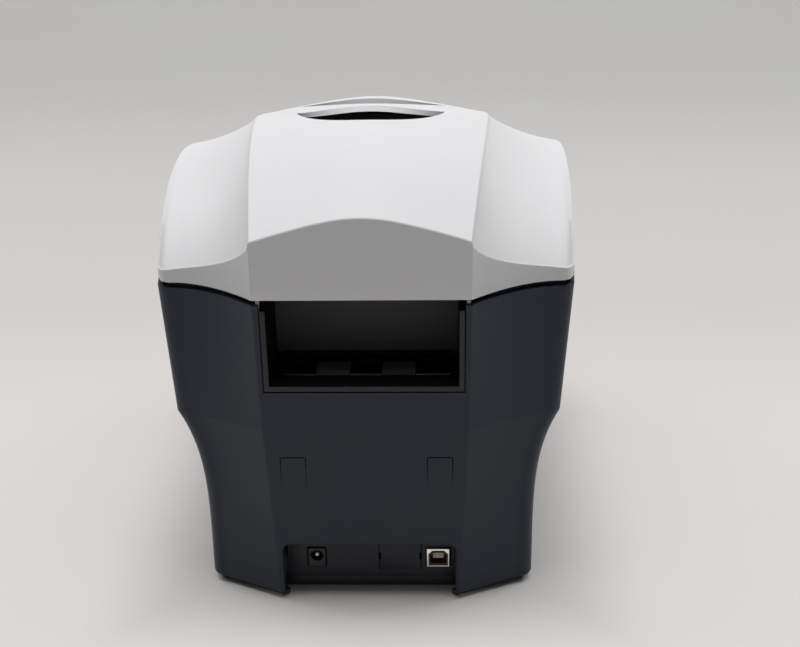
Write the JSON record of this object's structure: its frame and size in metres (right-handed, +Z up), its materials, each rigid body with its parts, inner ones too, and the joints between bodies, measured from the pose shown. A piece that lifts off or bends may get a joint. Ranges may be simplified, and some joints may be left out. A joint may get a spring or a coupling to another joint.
{
  "type": "card printer",
  "caption": "Desktop card printer with a sculpted hinged lid, rear card hopper, front output niche with a flap, card rollers, gears and a ribbon drive.",
  "frame": {"origin": "middle of the housing's outline, on the table under the rubber feet", "axes": "+Z up; +Y towards the rear, where the hopper and sockets are; the front with the output niche faces -Y; +X to the right seen from the front"},
  "size_m": [0.2074, 0.27, 0.23],
  "materials": {
    "case_plastic": "fine textured dark grey moulding",
    "lid_plastic": "satin pale grey moulding",
    "rubber": "soft black rubber",
    "black_plastic": "textured black moulding",
    "flap_plastic": "fine textured dark grey moulding",
    "plated_steel": "zinc plated sheet",
    "bright_steel": "ground steel",
    "socket_insert": "dark brown moulding",
    "circuit_board": "green solder resist",
    "board_parts": "moulded components",
    "motor_black": "black paint",
    "gear_plastic": "off-white acetal",
    "brass": "machined brass",
    "ribbon_film": "inked film",
    "spool_plastic": "natural moulding",
    "sticky_rubber": "tacky blue sleeve",
    "button_plastic": "satin grey moulding",
    "lamp": "translucent lens",
    "fitting_plastic": "grey moulding",
    "head_alloy": "extruded alloy",
    "ceramic": "glazed ceramic"
  },
  "bodies": {
    "case": {"lower_case": "case_plastic", "rubber_feet": "rubber", "bay_liner": "black_plastic", "bay_back_panel": "black_plastic", "tab_covers": "case_plastic", "connector_panel": "black_plastic", "network_blank": "black_plastic", "power_socket": "black_plastic", "power_pin": "bright_steel", "data_socket_shell": "plated_steel", "data_socket_insert": "socket_insert", "main_board": "circuit_board", "board_parts": "board_parts", "side_plates": "plated_steel", "chassis_rods": "bright_steel", "chassis_screws": "bright_steel", "card_deck": "black_plastic", "feed_motor": "motor_black", "ribbon_motor": "plated_steel", "ribbon_film": "ribbon_film", "output_niche": "black_plastic", "control_panel": "black_plastic", "panel_board": "circuit_board", "status_lamps": "lamp"},
    "flap": {"output_flap": "flap_plastic"},
    "power_button": {"power_button": "button_plastic"},
    "pick": {"pick_roller": "rubber", "pick_shaft": "bright_steel", "pick_gear": "gear_plastic"},
    "entry": {"entry_roller": "rubber", "entry_shaft": "bright_steel", "entry_gear": "gear_plastic"},
    "platen": {"platen_roller": "rubber", "platen_shaft": "bright_steel", "platen_gear": "gear_plastic"},
    "exit": {"exit_roller": "rubber", "exit_shaft": "bright_steel", "exit_gear": "gear_plastic"},
    "rear_idler": {"rear_idler": "gear_plastic"},
    "middle_idler": {"middle_idler": "gear_plastic"},
    "front_idler": {"front_idler": "gear_plastic"},
    "feed_pinion": {"feed_pinion": "brass"},
    "cleaner": {"cleaning_roller": "sticky_rubber"},
    "pinch": {"pinch_roller": "rubber"},
    "supply": {"supply_spool": "spool_plastic", "supply_film": "ribbon_film"},
    "takeup": {"takeup_spool": "spool_plastic", "takeup_film": "ribbon_film", "takeup_gear": "gear_plastic"},
    "ribbon_pinion": {"ribbon_pinion": "brass"},
    "lid": {"lid": "lid_plastic", "grip_well": "black_plastic", "hinge_arms": "fitting_plastic", "hinge_pins": "bright_steel", "head_bracket": "plated_steel", "latch_bearings": "fitting_plastic"},
    "head": {"print_head": "head_alloy", "heating_strip": "ceramic"},
    "latch": {"latch_hooks": "fitting_plastic"},
    "release": {"release_button": "button_plastic"}
  },
  "joints": [
    {"name": "lid_hinge", "type": "hinge", "parent": "case", "child": "lid", "pos_m": [0, 0.1305, 0.169], "axis": [-1, 0, 0], "range_deg": [0, 60]},
    {"name": "release_press", "type": "slide", "parent": "lid", "child": "release", "axis": [0, 1, 0], "range_m": [0, 0.002], "stiffness_N_per_m": 300, "springref_m": -0.001},
    {"name": "latch_turn", "type": "hinge", "parent": "lid", "child": "latch", "pos_m": [0, -0.12, 0.171], "axis": [1, 0, 0], "range_deg": [0, 17.5]},
    {"name": "head_lift", "type": "slide", "parent": "lid", "child": "head", "axis": [0, 0, 1], "range_m": [0, 0.0015], "stiffness_N_per_m": 1500, "springref_m": -0.002},
    {"name": "power_press", "type": "slide", "parent": "case", "child": "power_button", "axis": [0, 1, 0], "range_m": [0, 0.0012], "stiffness_N_per_m": 400, "springref_m": -0.0005},
    {"name": "flap_hinge", "type": "hinge", "parent": "case", "child": "flap", "pos_m": [0, -0.1311, 0.0663], "axis": [1, 0, 0], "range_deg": [0, 88]},
    {"name": "platen_spin", "type": "hinge", "parent": "case", "child": "platen", "pos_m": [0, 0.008, 0.1153], "axis": [1, 0, 0], "continuous": true},
    {"name": "pick_spin", "type": "hinge", "parent": "case", "child": "pick", "pos_m": [0, 0.112, 0.1153], "axis": [1, 0, 0], "continuous": true},
    {"name": "entry_spin", "type": "hinge", "parent": "case", "child": "entry", "pos_m": [0, 0.06, 0.1153], "axis": [1, 0, 0], "continuous": true},
    {"name": "exit_spin", "type": "hinge", "parent": "case", "child": "exit", "pos_m": [0, -0.044, 0.1153], "axis": [1, 0, 0], "continuous": true},
    {"name": "rear_idler_spin", "type": "hinge", "parent": "case", "child": "rear_idler", "pos_m": [0, 0.086, 0.1153], "axis": [1, 0, 0], "continuous": true},
    {"name": "middle_idler_spin", "type": "hinge", "parent": "case", "child": "middle_idler", "pos_m": [0, 0.034, 0.1153], "axis": [1, 0, 0], "continuous": true},
    {"name": "front_idler_spin", "type": "hinge", "parent": "case", "child": "front_idler", "pos_m": [0, -0.018, 0.1153], "axis": [1, 0, 0], "continuous": true},
    {"name": "feed_pinion_spin", "type": "hinge", "parent": "case", "child": "feed_pinion", "pos_m": [0, 0.034, 0.0913], "axis": [1, 0, 0], "continuous": true},
    {"name": "cleaner_spin", "type": "hinge", "parent": "case", "child": "cleaner", "pos_m": [0, 0.06, 0.1308], "axis": [1, 0, 0], "continuous": true},
    {"name": "pinch_spin", "type": "hinge", "parent": "case", "child": "pinch", "pos_m": [0, -0.044, 0.1303], "axis": [1, 0, 0], "continuous": true},
    {"name": "takeup_spin", "type": "hinge", "parent": "case", "child": "takeup", "pos_m": [0, -0.03, 0.16], "axis": [1, 0, 0], "continuous": true},
    {"name": "supply_spin", "type": "hinge", "parent": "case", "child": "supply", "pos_m": [0, 0.046, 0.16], "axis": [1, 0, 0], "continuous": true},
    {"name": "ribbon_pinion_spin", "type": "hinge", "parent": "case", "child": "ribbon_pinion", "pos_m": [0, -0.05225, 0.15101], "axis": [1, 0, 0], "continuous": true}
  ],
  "couplings": [
    {"joint": "latch_turn", "follows": "release_press", "rad_per_m": 150},
    {"joint": "pick_spin", "follows": "platen_spin", "ratio": 1},
    {"joint": "entry_spin", "follows": "platen_spin", "ratio": 1},
    {"joint": "exit_spin", "follows": "platen_spin", "ratio": 1},
    {"joint": "rear_idler_spin", "follows": "platen_spin", "ratio": -0.52941},
    {"joint": "middle_idler_spin", "follows": "platen_spin", "ratio": -0.52941},
    {"joint": "front_idler_spin", "follows": "platen_spin", "ratio": -0.52941},
    {"joint": "feed_pinion_spin", "follows": "platen_spin", "ratio": 1.2857},
    {"joint": "cleaner_spin", "follows": "platen_spin", "ratio": -1.3077},
    {"joint": "pinch_spin", "follows": "platen_spin", "ratio": -1.4167},
    {"joint": "ribbon_pinion_spin", "follows": "takeup_spin", "ratio": -3},
    {"joint": "supply_spin", "follows": "takeup_spin", "ratio": 0.68182}
  ]
}
